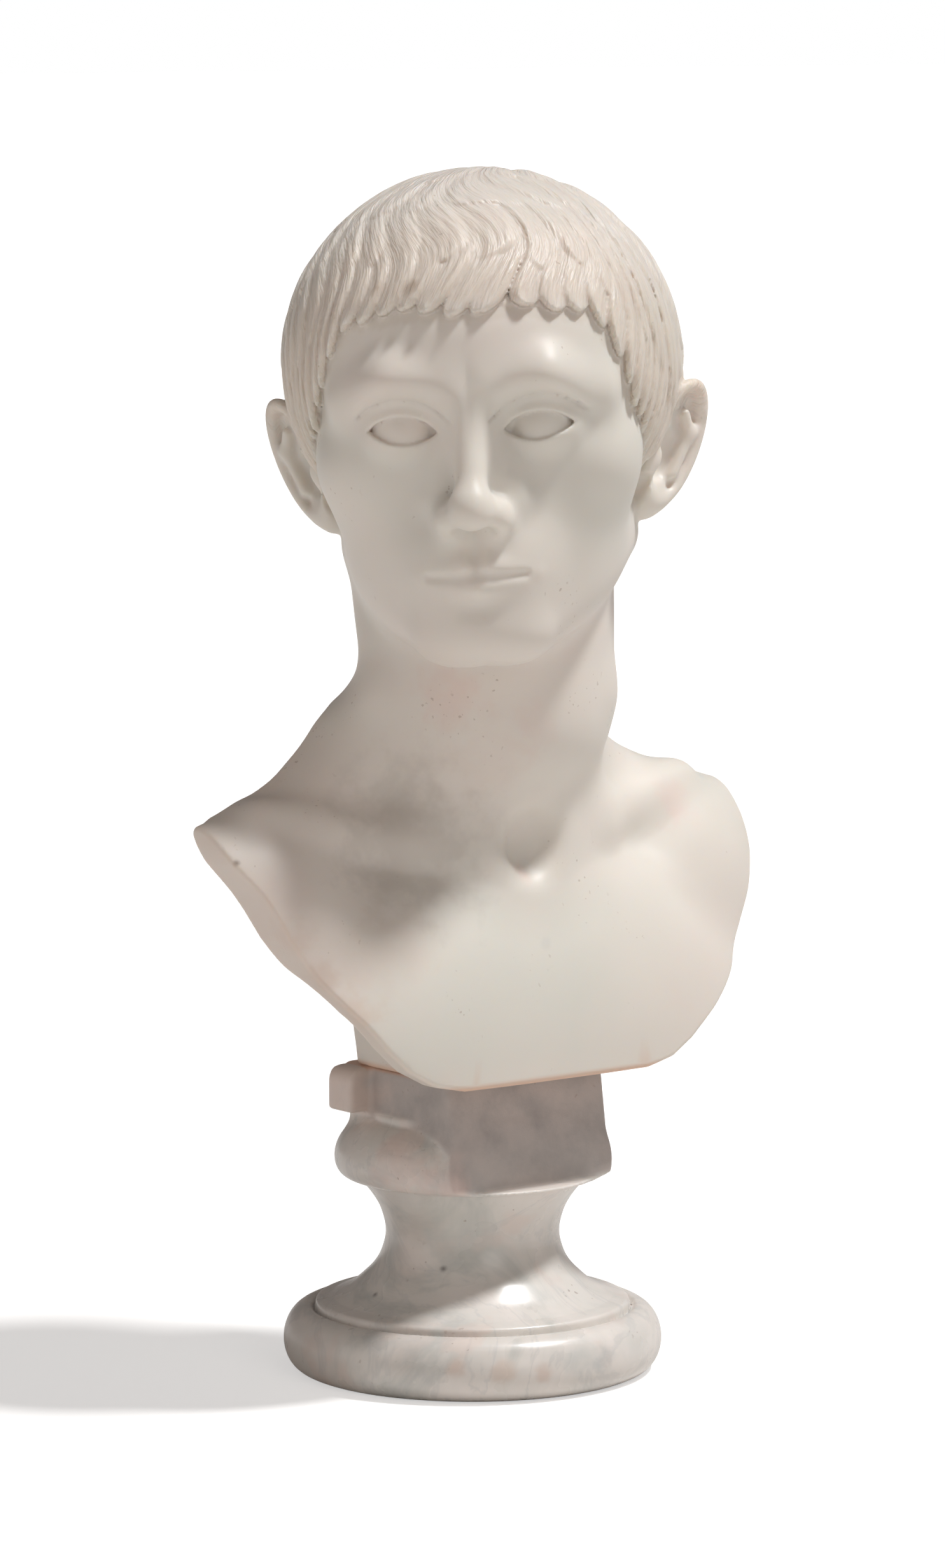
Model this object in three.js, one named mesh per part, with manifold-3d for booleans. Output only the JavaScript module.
// A marble portrait bust of a young man, on a turned marble socle that carries a tablet block.
// Millimetres, +Z up. The chest faces -Y, and the origin is the middle of the socle's underside.
import * as THREE from "three";
import { mergeVertices } from "three/addons/utils/BufferGeometryUtils.js";
import Module from "manifold-3d";

const wasm = await Module();
wasm.setup();

// Driving sizes of the whole piece
const FOOT_RADIUS = 64;
const JOINT_HEIGHT = 118;
const JOINT_GAP = 0.3;
const TO_RADIANS = Math.PI / 180;

// Where the head sits on the neck, and how it turns and leans
const HEAD_CENTRE = [-2, -9, 368];
const HEAD_TURN = -42 * TO_RADIANS;
const HEAD_LEAN = -3 * TO_RADIANS;

// The chest, in plan a rounded box that thins towards its top
const CHEST = { middle: 20, halfWidth: 130, depth: 74, shoulderStart: 130, rise: 88 };
const PILLAR_HALF_WIDTH = 38;
// Half of the cut edge seen from the front: half width, height
const CUT_EDGE = [
  [44, 118],
  [57, 121],
  [68, 127],
  [80, 137],
  [93, 150],
  [104, 164],
  [112, 177],
  [118, 191],
  [122.5, 205],
  [125, 219],
  [126, 236],
];
// The cut reaches further out on the bust's own left, between these heights
const EDGE_SHIFT = { most: 4.5, from: 125, full: 150, fall: 190, to: 212 };

// Signed distances, negative inside, and the ways to join them
const square = (v) => v * v;

function ellipsoid(p, centre, radii) {
  const [a, b, c] = p.map((v, i) => (v - centre[i]) / radii[i]);
  const k = Math.hypot(a, b, c);
  const slope = Math.hypot(a / radii[0], b / radii[1], c / radii[2]);
  return (k * (k - 1)) / Math.max(slope, 1e-6);
}

function rod(p, from, to, radiusFrom, radiusTo) {
  const along = to.map((v, i) => v - from[i]);
  const away = p.map((v, i) => v - from[i]);
  const length2 = along.reduce((sum, v) => sum + v * v, 0);
  const dot = along.reduce((sum, v, i) => sum + v * away[i], 0);
  const t = Math.min(Math.max(dot / length2, 0), 1);
  const gap = Math.hypot(...away.map((v, i) => v - along[i] * t));
  return gap - (radiusFrom + (radiusTo - radiusFrom) * t);
}

function join(a, b, soft) {
  const overlap = Math.max(soft - Math.abs(a - b), 0) / soft;
  return Math.min(a, b) - (overlap * overlap * soft) / 4;
}

const cut = (a, b, soft) => -join(-a, b, soft);

function smooth(low, high, v) {
  const t = Math.min(Math.max((v - low) / (high - low), 0), 1);
  return t * t * (3 - 2 * t);
}

// The head in its own frame: face towards -Y, up +Z, in step with the same sizes left and right
const mirrored = (p) => [Math.abs(p[0]), p[1], p[2]];

function skull(p) {
  const m = mirrored(p);
  let d = ellipsoid(p, [0, 9, 20], [67, 75, 63]);
  d = join(d, ellipsoid(p, [0, 27, -36], [46, 41, 42]), 12);
  d = join(d, ellipsoid(p, [0, -26, 20], [56, 48, 44]), 20);
  d = join(d, ellipsoid(p, [0, -24, -24], [56, 45, 50]), 18);
  d = join(d, ellipsoid(p, [0, -26, -50], [45, 44, 37]), 16);
  d = join(d, rod(m, [44, 3, -49], [15, -56, -78], 10, 10), 20);
  d = join(d, ellipsoid(p, [0, -61, -77], [16, 14, 12]), 14);
  return join(d, ellipsoid(m, [41, -39, -17], [14, 16, 12]), 20);
}

function browAndNose(d, p) {
  const m = mirrored(p);
  d = join(d, rod(m, [8, -71, 9], [28, -69, 13], 4, 4), 14);
  d = join(d, rod(m, [28, -69, 13], [46, -54, 8], 4, 3.5), 14);
  d = cut(d, ellipsoid(m, [25.5, -81, -1.5], [16.5, 16, 10.5]), 9);
  d = join(d, rod(m, [5.5, -64, 2], [9.5, -68, -28], 6.5, 8), 9);
  d = join(d, rod(p, [0, -71, 6], [0, -84, -27], 5, 5.6), 8);
  d = join(d, ellipsoid(p, [0, -86.5, -32.5], [7.6, 7.4, 6.6]), 7);
  return join(d, ellipsoid(m, [10, -77.5, -35.5], [4.6, 7.6, 5.6]), 4);
}

function mouth(d, p) {
  const m = mirrored(p);
  d = join(d, ellipsoid(p, [0, -58, -54], [25, 18.5, 19]), 12);
  d = join(d, rod(m, [3.5, -74.5, -52.5], [19, -67.5, -55.5], 3.6, 1.8), 4);
  d = join(d, rod(m, [0, -73.5, -59.6], [14.5, -68.5, -58], 4.6, 2.4), 4);
  return cut(d, rod(m, [0, -80, -56], [21, -71, -56.6], 1.4, 1.4), 3);
}

// A blank eyeball in its lids
const EYE = [24.5, -56.8, -3];
const eyes = (d, p) => join(d, ellipsoid(mirrored(p), EYE, [14, 13.4, 12.6]), 3);

const face = (p) => eyes(mouth(browAndNose(skull(p), p), p), p);

// The neck, the chest and the shoulders, in the part's frame
function neck(p) {
  let d = rod(p, [1, 27, 190], [3, -5, 258], 44, 46);
  d = join(d, rod(p, [3, -5, 258], [0, -9, 310], 46, 47), 6);
  d = join(d, rod(p, [10, 8, 255], [20, 14, 320], 37, 33), 20);
  d = join(d, rod(p, [8, -22, 202], [29, -31, 262], 4, 5), 14);
  d = join(d, rod(p, [29, -31, 262], [38, -19, 318], 5, 6), 14);
  d = join(d, rod(p, [-8, -22, 202], [-37, 0, 262], 4, 5), 14);
  return join(d, rod(p, [-37, 0, 262], [-28, 30, 315], 5, 6), 14);
}

function chest(p) {
  const wide = Math.abs(p[0]) / CHEST.halfWidth;
  const deep = Math.abs(p[1] - CHEST.middle) / CHEST.depth;
  const plan = Math.cbrt(wide ** 3 + deep ** 3);
  const high = Math.max(p[2] - CHEST.shoulderStart, 0) / CHEST.rise;
  return (Math.hypot(plan, high) - 1) * CHEST.depth;
}

function trunk(p) {
  const m = mirrored(p);
  let d = chest(p);
  d = join(d, ellipsoid(m, [98, 12, 180], [40, 42, 38]), 14);
  d = join(d, rod(m, [130, 7, 199], [100, 14, 191], 18, 26), 14);
  d = join(d, rod(m, [100, 14, 191], [46, 22, 225], 26, 27), 18);
  d = join(d, rod(m, [11, -22, 198], [45, -16, 207], 5.5, 5), 10);
  d = join(d, rod(m, [45, -16, 207], [100, 0, 220], 5, 5), 12);
  d = join(d, neck(p), 30);
  return cut(d, ellipsoid(p, [0, -35, 206], [8, 5, 9]), 12);
}

// The back is cut off: upright behind the pillar, and leaning forward to a thin rim at the wings
const BACK = { footDepth: 22, slope: 0.3, wingFrom: 46, wingHeight: 191, wingSlope: 0.415, thinner: 3.5 };
const TIP = { half: 120, depth: 10, slope: 0.5 };
function backCut(p) {
  const x = Math.abs(p[0]);
  const pillar = p[1] - BACK.footDepth - (p[2] - JOINT_HEIGHT) * BACK.slope;
  const atTip = TIP.depth + TIP.slope * Math.max(TIP.half - x, 0);
  const thinner = BACK.thinner * smooth(-60, -100, p[0]) * smooth(208, 185, p[2]);
  const wing = p[1] - Math.min(BACK.wingSlope * (p[2] - BACK.wingHeight) - thinner, atTip);
  return Math.max(pillar, join(x - BACK.wingFrom, wing, 16));
}
const body = (p) => cut(trunk(p), -backCut(p), 5);

// The two hollows behind the chest: a smaller form of the same plan, left open to the back
const HOLLOW = { halfWidth: 125, depth: 64, shoulderStart: 130, rise: 74, floor: 95, back: 95 };
const POCKET = { centre: [86, 26, 184], radii: [29, 30, 29] };
function hollow(p) {
  const m = [Math.abs(p[0]), Math.min(p[1], POCKET.centre[1]), p[2]];
  const wide = m[0] / HOLLOW.halfWidth;
  const deep = Math.max(CHEST.middle - m[1], 0) / HOLLOW.depth;
  const high = Math.max(m[2] - HOLLOW.shoulderStart, 0) / HOLLOW.rise;
  const room = (Math.hypot(Math.cbrt(wide ** 3 + deep ** 3), high) - 1) * HOLLOW.depth;
  const both = join(room, ellipsoid(m, POCKET.centre, POCKET.radii), 16);
  const ends = Math.max(p[1] - HOLLOW.back, HOLLOW.floor - p[2]);
  const pillar = PILLAR_HALF_WIDTH + square((p[2] - 150) / 60) * 5 - m[0];
  return Math.max(cut(both, -pillar, 14), ends);
}

// Meshes: every grid point comes in along its ray until it meets the form
function reach(form, from, way, far) {
  const at = (r) => from.map((v, i) => v + way[i] * r);
  const STEP = 2.5;
  let beyond = far;
  while (beyond > STEP && form(at(beyond - STEP)) > 0) beyond -= STEP;
  let near = Math.max(beyond - STEP, 0);
  for (let i = 0; i < 16; i++) {
    const mid = (near + beyond) / 2;
    if (form(at(mid)) < 0) near = mid;
    else beyond = mid;
  }
  return at((near + beyond) / 2);
}

// Moves the points of a unit sphere's grid; place gets the grid's column and row
function shapedSphere(columns, rows, place) {
  const geometry = new THREE.SphereGeometry(1, columns, rows);
  const position = geometry.getAttribute("position");
  const wide = columns + 1;
  for (let i = 0; i < position.count; i++) {
    position.setXYZ(i, ...place(i % wide % columns, Math.floor(i / wide)));
  }
  return geometry;
}

function solid(geometry) {
  const bare = new THREE.BufferGeometry();
  bare.setAttribute("position", geometry.getAttribute("position"));
  bare.setIndex(geometry.index);
  const merged = mergeVertices(bare, 1e-4);
  return new wasm.Manifold(
    new wasm.Mesh({
      numProp: 3,
      vertProperties: merged.getAttribute("position").array,
      triVerts: new Uint32Array(merged.index.array),
    }),
  );
}

// The grid of the face is closer set in front, where the features are
const FACE_GRID = {
  columns: 44,
  rows: 34,
  centre: [0, -20, -16],
  crowding: 0.6,
  rowCrowding: 0.45,
};
function wayOf(around, down) {
  const level = Math.sin(down);
  return [Math.sin(around) * level, -Math.cos(around) * level, Math.cos(down)];
}

function faceSolid() {
  const { columns, rows, centre, crowding, rowCrowding } = FACE_GRID;
  return solid(
    shapedSphere(columns, rows, (column, row) => {
      const turn = (column / columns) * 2 * Math.PI;
      const around = turn - crowding * Math.sin(turn);
      const level = (row / rows) * Math.PI;
      const down = level + (rowCrowding / 2) * Math.sin(2 * level);
      return reach(face, centre, wayOf(around, down), 140);
    }),
  );
}

// The trunk's rows of rays, from inside the head down: the height that they start at and their rise
const TRUNK_GRID = {
  columns: 42,
  crowding: 0.2,
  axisY: 20,
  neckFrom: 200,
  neckTo: 258,
  neckX: 3,
  neckY: -5,
};
const TRUNK_ROWS = [
  [338, 90],
  [318, 0],
  [300, 0],
  [285, 0],
  [271, 3],
  [259, 8],
  [248, 15],
  [237, 24],
  [227, 31],
  [218, 35],
  [211, 34],
  [206, 29],
  [203, 22],
  [200, 16],
  [197, 11],
  [193, 7],
  [187, 4],
  [179, 2],
  [169, 0],
  [158, 0],
  [146, 0],
  [134, 0],
  [118, 0],
  [98, -90],
];

function trunkSolid() {
  const { columns, crowding, axisY, neckFrom, neckTo, neckX, neckY } = TRUNK_GRID;
  const closed = (p) => Math.max(body(p), HOLLOW.floor + 5 - p[2]);
  return solid(
    shapedSphere(columns, TRUNK_ROWS.length - 1, (column, row) => {
      const [height, rise] = TRUNK_ROWS[row];
      const t = Math.min(Math.max((height - neckFrom) / (neckTo - neckFrom), 0), 1);
      const from = [neckX * t, axisY + (neckY - axisY) * t, height];
      if (Math.abs(rise) === 90) return from;
      const turn = (column / columns) * 2 * Math.PI;
      const around = turn + crowding * Math.sin(2 * turn);
      return reach(closed, from, wayOf(around, Math.PI / 2 - rise * TO_RADIANS), 200);
    }),
  );
}

// The front view of the cut edge, pushed through from front to back
function cutEdgeSolid() {
  const DEPTH = 220;
  const TOP = 345;
  const foot = JOINT_HEIGHT + JOINT_GAP;
  const { most, from, full, fall, to } = EDGE_SHIFT;
  const side = (sign) =>
    CUT_EDGE.map(([x, z]) => {
      const shift = most * smooth(from, full, z) * smooth(to, fall, z);
      return new THREE.Vector2(sign * x + shift, Math.max(z, foot));
    });
  const right = side(1);
  const left = side(-1).reverse();
  const shape = new THREE.Shape();
  shape.moveTo(-right[0].x, foot);
  shape.lineTo(right[0].x, foot);
  right.slice(1).forEach((v) => shape.lineTo(v.x, v.y));
  shape.lineTo(right.at(-1).x, TOP);
  shape.lineTo(left[0].x, TOP);
  left.slice(0, -1).forEach((v) => shape.lineTo(v.x, v.y));
  const geometry = new THREE.ExtrudeGeometry(shape, { depth: DEPTH, bevelEnabled: false });
  geometry.rotateX(Math.PI / 2);
  geometry.translate(0, DEPTH / 2, 0);
  return solid(geometry);
}

function hollowSolid(side) {
  const COLUMNS = 20;
  const ROWS = 16;
  const centre = [80 * side, 40, 150];
  return solid(
    shapedSphere(COLUMNS, ROWS, (column, row) => {
      const around = (column / COLUMNS) * 2 * Math.PI;
      const down = (row / ROWS) * Math.PI;
      return reach(hollow, centre, wayOf(around, down), 160);
    }),
  );
}

// The hair: a cap of short locks that fan out from the crown in three overlapping tiers
const HAIR = { centre: [0, 12, 10], crownTilt: 29, columnsFront: 48, columnsSide: 21, frontHalf: 42 };
const LOCK = {
  samples: 4,
  height: 4.6,
  valley: 0.6,
  sweep: 15,
  comma: 16,
  tip: 3.4,
  parting: 9,
  partingWidth: 12,
};
const LOCK_SECTION = [0, 0.75, 1, 0.6];
// Rows of points from the crown to the hair's edge: share of the way down, and the lock's rise there
const HAIR_ROWS = [
  [0, 0.3],
  [0.09, 0.4],
  [0.18, 0.6],
  [0.28, 0.85],
  [0.36, 1],
  [0.4, 0.25],
  [0.48, 0.5],
  [0.57, 0.8],
  [0.66, 1],
  [0.7, 0.25],
  [0.78, 0.55],
  [0.87, 0.85],
  [0.95, 1],
  [1, 0.75],
];
// The hair's edge: degrees round the crown from the front, degrees down from the crown
const HAIRLINE = [
  [0, 99.5],
  [22, 98],
  [32, 96.5],
  [40, 103],
  [50, 112],
  [65, 120],
  [78, 128],
  [84, 126],
  [89, 105],
  [95, 98],
  [105, 102],
  [122, 113],
  [156, 117.5],
  [180, 116],
];

function hairCap(p) {
  const cap = ellipsoid(p, [0, 9, 18], [72.5, p[1] < 9 ? 84 : 79, 70]);
  return join(cap, ellipsoid(p, [0, 30, -38], [52, 45, 46]), 20);
}

function edgeAngle(around) {
  const a = Math.abs(around);
  const next = Math.max(HAIRLINE.findIndex(([angle]) => angle >= a), 1);
  const [a0, d0] = HAIRLINE[next - 1];
  const [a1, d1] = HAIRLINE[next];
  return d0 + ((d1 - d0) * (a - a0)) / (a1 - a0);
}

// The columns' angles round the crown: close together over the fringe, wider at the sides
function hairColumns() {
  const { columnsFront, columnsSide, frontHalf } = HAIR;
  const front = 2 * frontHalf;
  const rest = 360 - front;
  const angles = [];
  for (let i = 0; i < columnsFront; i++) angles.push(-frontHalf + (front * i) / columnsFront);
  for (let i = 0; i < 2 * columnsSide; i++) angles.push(frontHalf + (rest * i) / (2 * columnsSide));
  return angles;
}

// How many tiers of locks have begun above this row: the rise falls back where one begins
function tierOf(row) {
  return HAIR_ROWS.filter(([, rise], k) => k > 0 && k <= row && rise < HAIR_ROWS[k - 1][1]).length;
}

// One point of the hair: its ray's way from the centre, and how far it stands off the cap
function hairPoint(column, row, angle) {
  const [share, rise] = HAIR_ROWS[row];
  const section = LOCK_SECTION[(column + 2 * (tierOf(row) % 2)) % LOCK.samples];
  const outward = Math.tanh((angle - LOCK.parting) / LOCK.partingWidth);
  const sweep = LOCK.sweep * Math.sin(share * 2 * Math.PI) * (1 - share);
  const around = (angle + sweep + LOCK.comma * outward * share ** 5) * TO_RADIANS;
  const down = share * (edgeAngle(angle) + LOCK.tip * section * share ** 3) * TO_RADIANS;
  const tilt = HAIR.crownTilt * TO_RADIANS;
  const side = Math.sin(down) * Math.sin(around);
  const ahead = Math.sin(down) * Math.cos(around);
  const above = Math.cos(down);
  return {
    way: [
      side,
      Math.sin(tilt) * above - Math.cos(tilt) * ahead,
      Math.cos(tilt) * above + Math.sin(tilt) * ahead,
    ],
    height: LOCK.valley + LOCK.height * rise * section * Math.min(share * 4, 1),
  };
}

function hairSolid() {
  const angles = hairColumns();
  return solid(
    shapedSphere(angles.length, HAIR_ROWS.length, (column, row) => {
      if (row === HAIR_ROWS.length) return HAIR.centre;
      const angle = angles[column] > 180 ? angles[column] - 360 : angles[column];
      const { way, height } = hairPoint(column, row, angle);
      return reach((p) => hairCap(p) - height, HAIR.centre, way, 140);
    }),
  );
}

// An ear: a thick leaf with a rolled rim and a bowl, standing away from the head
const EAR = {
  out: 38,
  half: [15, 25],
  widening: 3,
  lean: 6,
  rim: 5.6,
  bowl: 7.5,
  root: 18,
  spread: 5,
  x: 69.5,
  y: 8,
  z: -18,
};
function earSolid(side) {
  const COLUMNS = 18;
  const ROWS = 14;
  const out = EAR.out * TO_RADIANS;
  const geometry = shapedSphere(COLUMNS, ROWS, (column, row) => {
    const around = (column / COLUMNS) * 2 * Math.PI;
    const down = (row / ROWS) * Math.PI;
    const aft = Math.sin(around) * Math.sin(down) * side;
    const outer = Math.cos(around) * Math.sin(down);
    const up = Math.cos(down);
    const back = aft * (EAR.half[0] + EAR.widening * up) + EAR.lean * up;
    const bowl = EAR.rim * Math.sqrt(Math.max(outer, 0)) - EAR.bowl * outer ** 3;
    const rise = outer > 0 ? bowl : -EAR.root * (-outer) ** 1.5;
    return [
      side * (EAR.x + back * Math.sin(out) + rise * Math.cos(out) + up * EAR.spread),
      EAR.y + back * Math.cos(out) - rise * Math.sin(out),
      EAR.z + up * EAR.half[1],
    ];
  });
  return solid(geometry);
}

// A solid's points taken from the head's own frame to the part's
function withHead(...solids) {
  const matrix = new THREE.Matrix4()
    .makeTranslation(...HEAD_CENTRE)
    .multiply(new THREE.Matrix4().makeRotationZ(HEAD_TURN))
    .multiply(new THREE.Matrix4().makeRotationY(HEAD_LEAN));
  return solid(geometryOf(joined(solids)).applyMatrix4(matrix));
}

const joined = (solids) => solids.reduce((all, one) => all.add(one));

function geometryOf(manifold) {
  const mesh = manifold.getMesh();
  const geometry = new THREE.BufferGeometry();
  geometry.setAttribute("position", new THREE.BufferAttribute(mesh.vertProperties, 3));
  geometry.setIndex(new THREE.BufferAttribute(mesh.triVerts, 1));
  return geometry;
}

function bustGeometry() {
  const head = withHead(faceSolid(), hairSolid(), earSolid(1), earSolid(-1));
  const shell = trunkSolid()
    .intersect(cutEdgeSolid())
    .subtract(hollowSolid(1))
    .subtract(hollowSolid(-1));
  return geometryOf(shell.add(head));
}

// The socle, turned: a foot torus, a hollow moulding, a ring, and a thin fillet under the block
const SOCLE_SEGMENTS = 32;
const FOOT = { top: 24.5, topRadius: 62.5, bulge: 75.6 };
const COVE = [
  [60.7, 22],
  [60, 26.7],
  [54, 28],
  [47, 31.5],
  [42, 35.7],
  [38, 39.8],
  [35, 45],
  [33.2, 53],
  [35, 61.5],
  [38.2, 67.5],
  [42.5, 73],
];
const RING = { underside: 75, inner: 43, outer: [48.5, 55.5, 55, 41], shoulder: 92 };
const FILLET = { radius: 39, bottom: 97, top: 100 };

function socleProfile() {
  const foot = new THREE.CubicBezierCurve(
    new THREE.Vector2(FOOT_RADIUS, 0),
    new THREE.Vector2(FOOT.bulge, 0.5),
    new THREE.Vector2(FOOT.bulge, FOOT.top - 0.5),
    new THREE.Vector2(FOOT.topRadius, FOOT.top),
  );
  const ring = new THREE.CubicBezierCurve(
    new THREE.Vector2(RING.outer[0], RING.underside),
    new THREE.Vector2(RING.outer[1], RING.underside + 2),
    new THREE.Vector2(RING.outer[2], RING.shoulder),
    new THREE.Vector2(RING.outer[3], FILLET.bottom),
  );
  return [
    new THREE.Vector2(0, 0),
    ...foot.getPoints(5),
    ...COVE.map(([r, z]) => new THREE.Vector2(r, z)),
    new THREE.Vector2(RING.inner, RING.underside - 1),
    ...ring.getPoints(5),
    new THREE.Vector2(FILLET.radius, FILLET.bottom),
    new THREE.Vector2(FILLET.radius, FILLET.top),
    new THREE.Vector2(0, FILLET.top),
  ];
}

// The block on top: its front leans back, and two wings stand out behind, at the top only
const BLOCK = { half: 37.5, front: -39, back: 29, bottom: 77, corner: 5, lean: 6 };
const WING = { half: 47.5, front: 14, bottom: 101, corner: 5 };

function blockSolid() {
  const { half, front, back, bottom, corner, lean } = BLOCK;
  const plan = new THREE.Shape();
  plan.moveTo(-half, back);
  plan.lineTo(-half, front + corner);
  plan.quadraticCurveTo(-half, front, -half + corner, front);
  plan.lineTo(half - corner, front);
  plan.quadraticCurveTo(half, front, half, front + corner);
  plan.lineTo(half, back);
  const rise = JOINT_HEIGHT - bottom;
  const options = { depth: rise, bevelEnabled: false, curveSegments: 3 };
  const geometry = new THREE.ExtrudeGeometry(plan, options);
  const position = geometry.getAttribute("position");
  for (let i = 0; i < position.count; i++) {
    const share = position.getZ(i) / rise;
    const y = position.getY(i);
    position.setY(i, y < 0 ? y + lean * share : y);
    position.setZ(i, bottom + rise * share);
  }
  return solid(geometry);
}

// What the block's front plane trims off the turned ring
function frontTrimSolid() {
  const SIZE = 120;
  const tilt = Math.atan(BLOCK.lean / (JOINT_HEIGHT - BLOCK.bottom));
  const geometry = new THREE.BoxGeometry(SIZE, SIZE, SIZE);
  geometry.translate(0, -SIZE / 2, SIZE / 2);
  geometry.rotateX(-tilt);
  geometry.translate(0, BLOCK.front, BLOCK.bottom - 1);
  return solid(geometry);
}

function wingSolid() {
  const { half, front, bottom, corner } = WING;
  const view = new THREE.Shape();
  view.moveTo(-half, bottom);
  view.lineTo(half, bottom);
  view.lineTo(half, JOINT_HEIGHT - corner);
  view.quadraticCurveTo(half, JOINT_HEIGHT, half - corner, JOINT_HEIGHT);
  view.lineTo(-half + corner, JOINT_HEIGHT);
  view.quadraticCurveTo(-half, JOINT_HEIGHT, -half, JOINT_HEIGHT - corner);
  const depth = BLOCK.back - front;
  const geometry = new THREE.ExtrudeGeometry(view, { depth, bevelEnabled: false, curveSegments: 3 });
  geometry.rotateX(Math.PI / 2);
  geometry.translate(0, BLOCK.back, 0);
  return solid(geometry);
}

function socleGeometry() {
  const turned = new THREE.LatheGeometry(socleProfile(), SOCLE_SEGMENTS);
  turned.rotateX(Math.PI / 2);
  const trimmed = solid(turned).subtract(frontTrimSolid());
  return geometryOf(joined([trimmed, blockSolid(), wingSolid()]));
}

function piece(name, geometry, color, roughness) {
  geometry.computeVertexNormals();
  const material = new THREE.MeshStandardMaterial({ color, roughness, metalness: 0 });
  const mesh = new THREE.Mesh(geometry, material);
  mesh.name = name;
  return mesh;
}

const bustOnSocle = new THREE.Group();
bustOnSocle.add(piece("bust", bustGeometry(), 0xe2dacf, 0.45));
bustOnSocle.add(piece("socle", socleGeometry(), 0xcfcbc7, 0.3));

export default bustOnSocle;
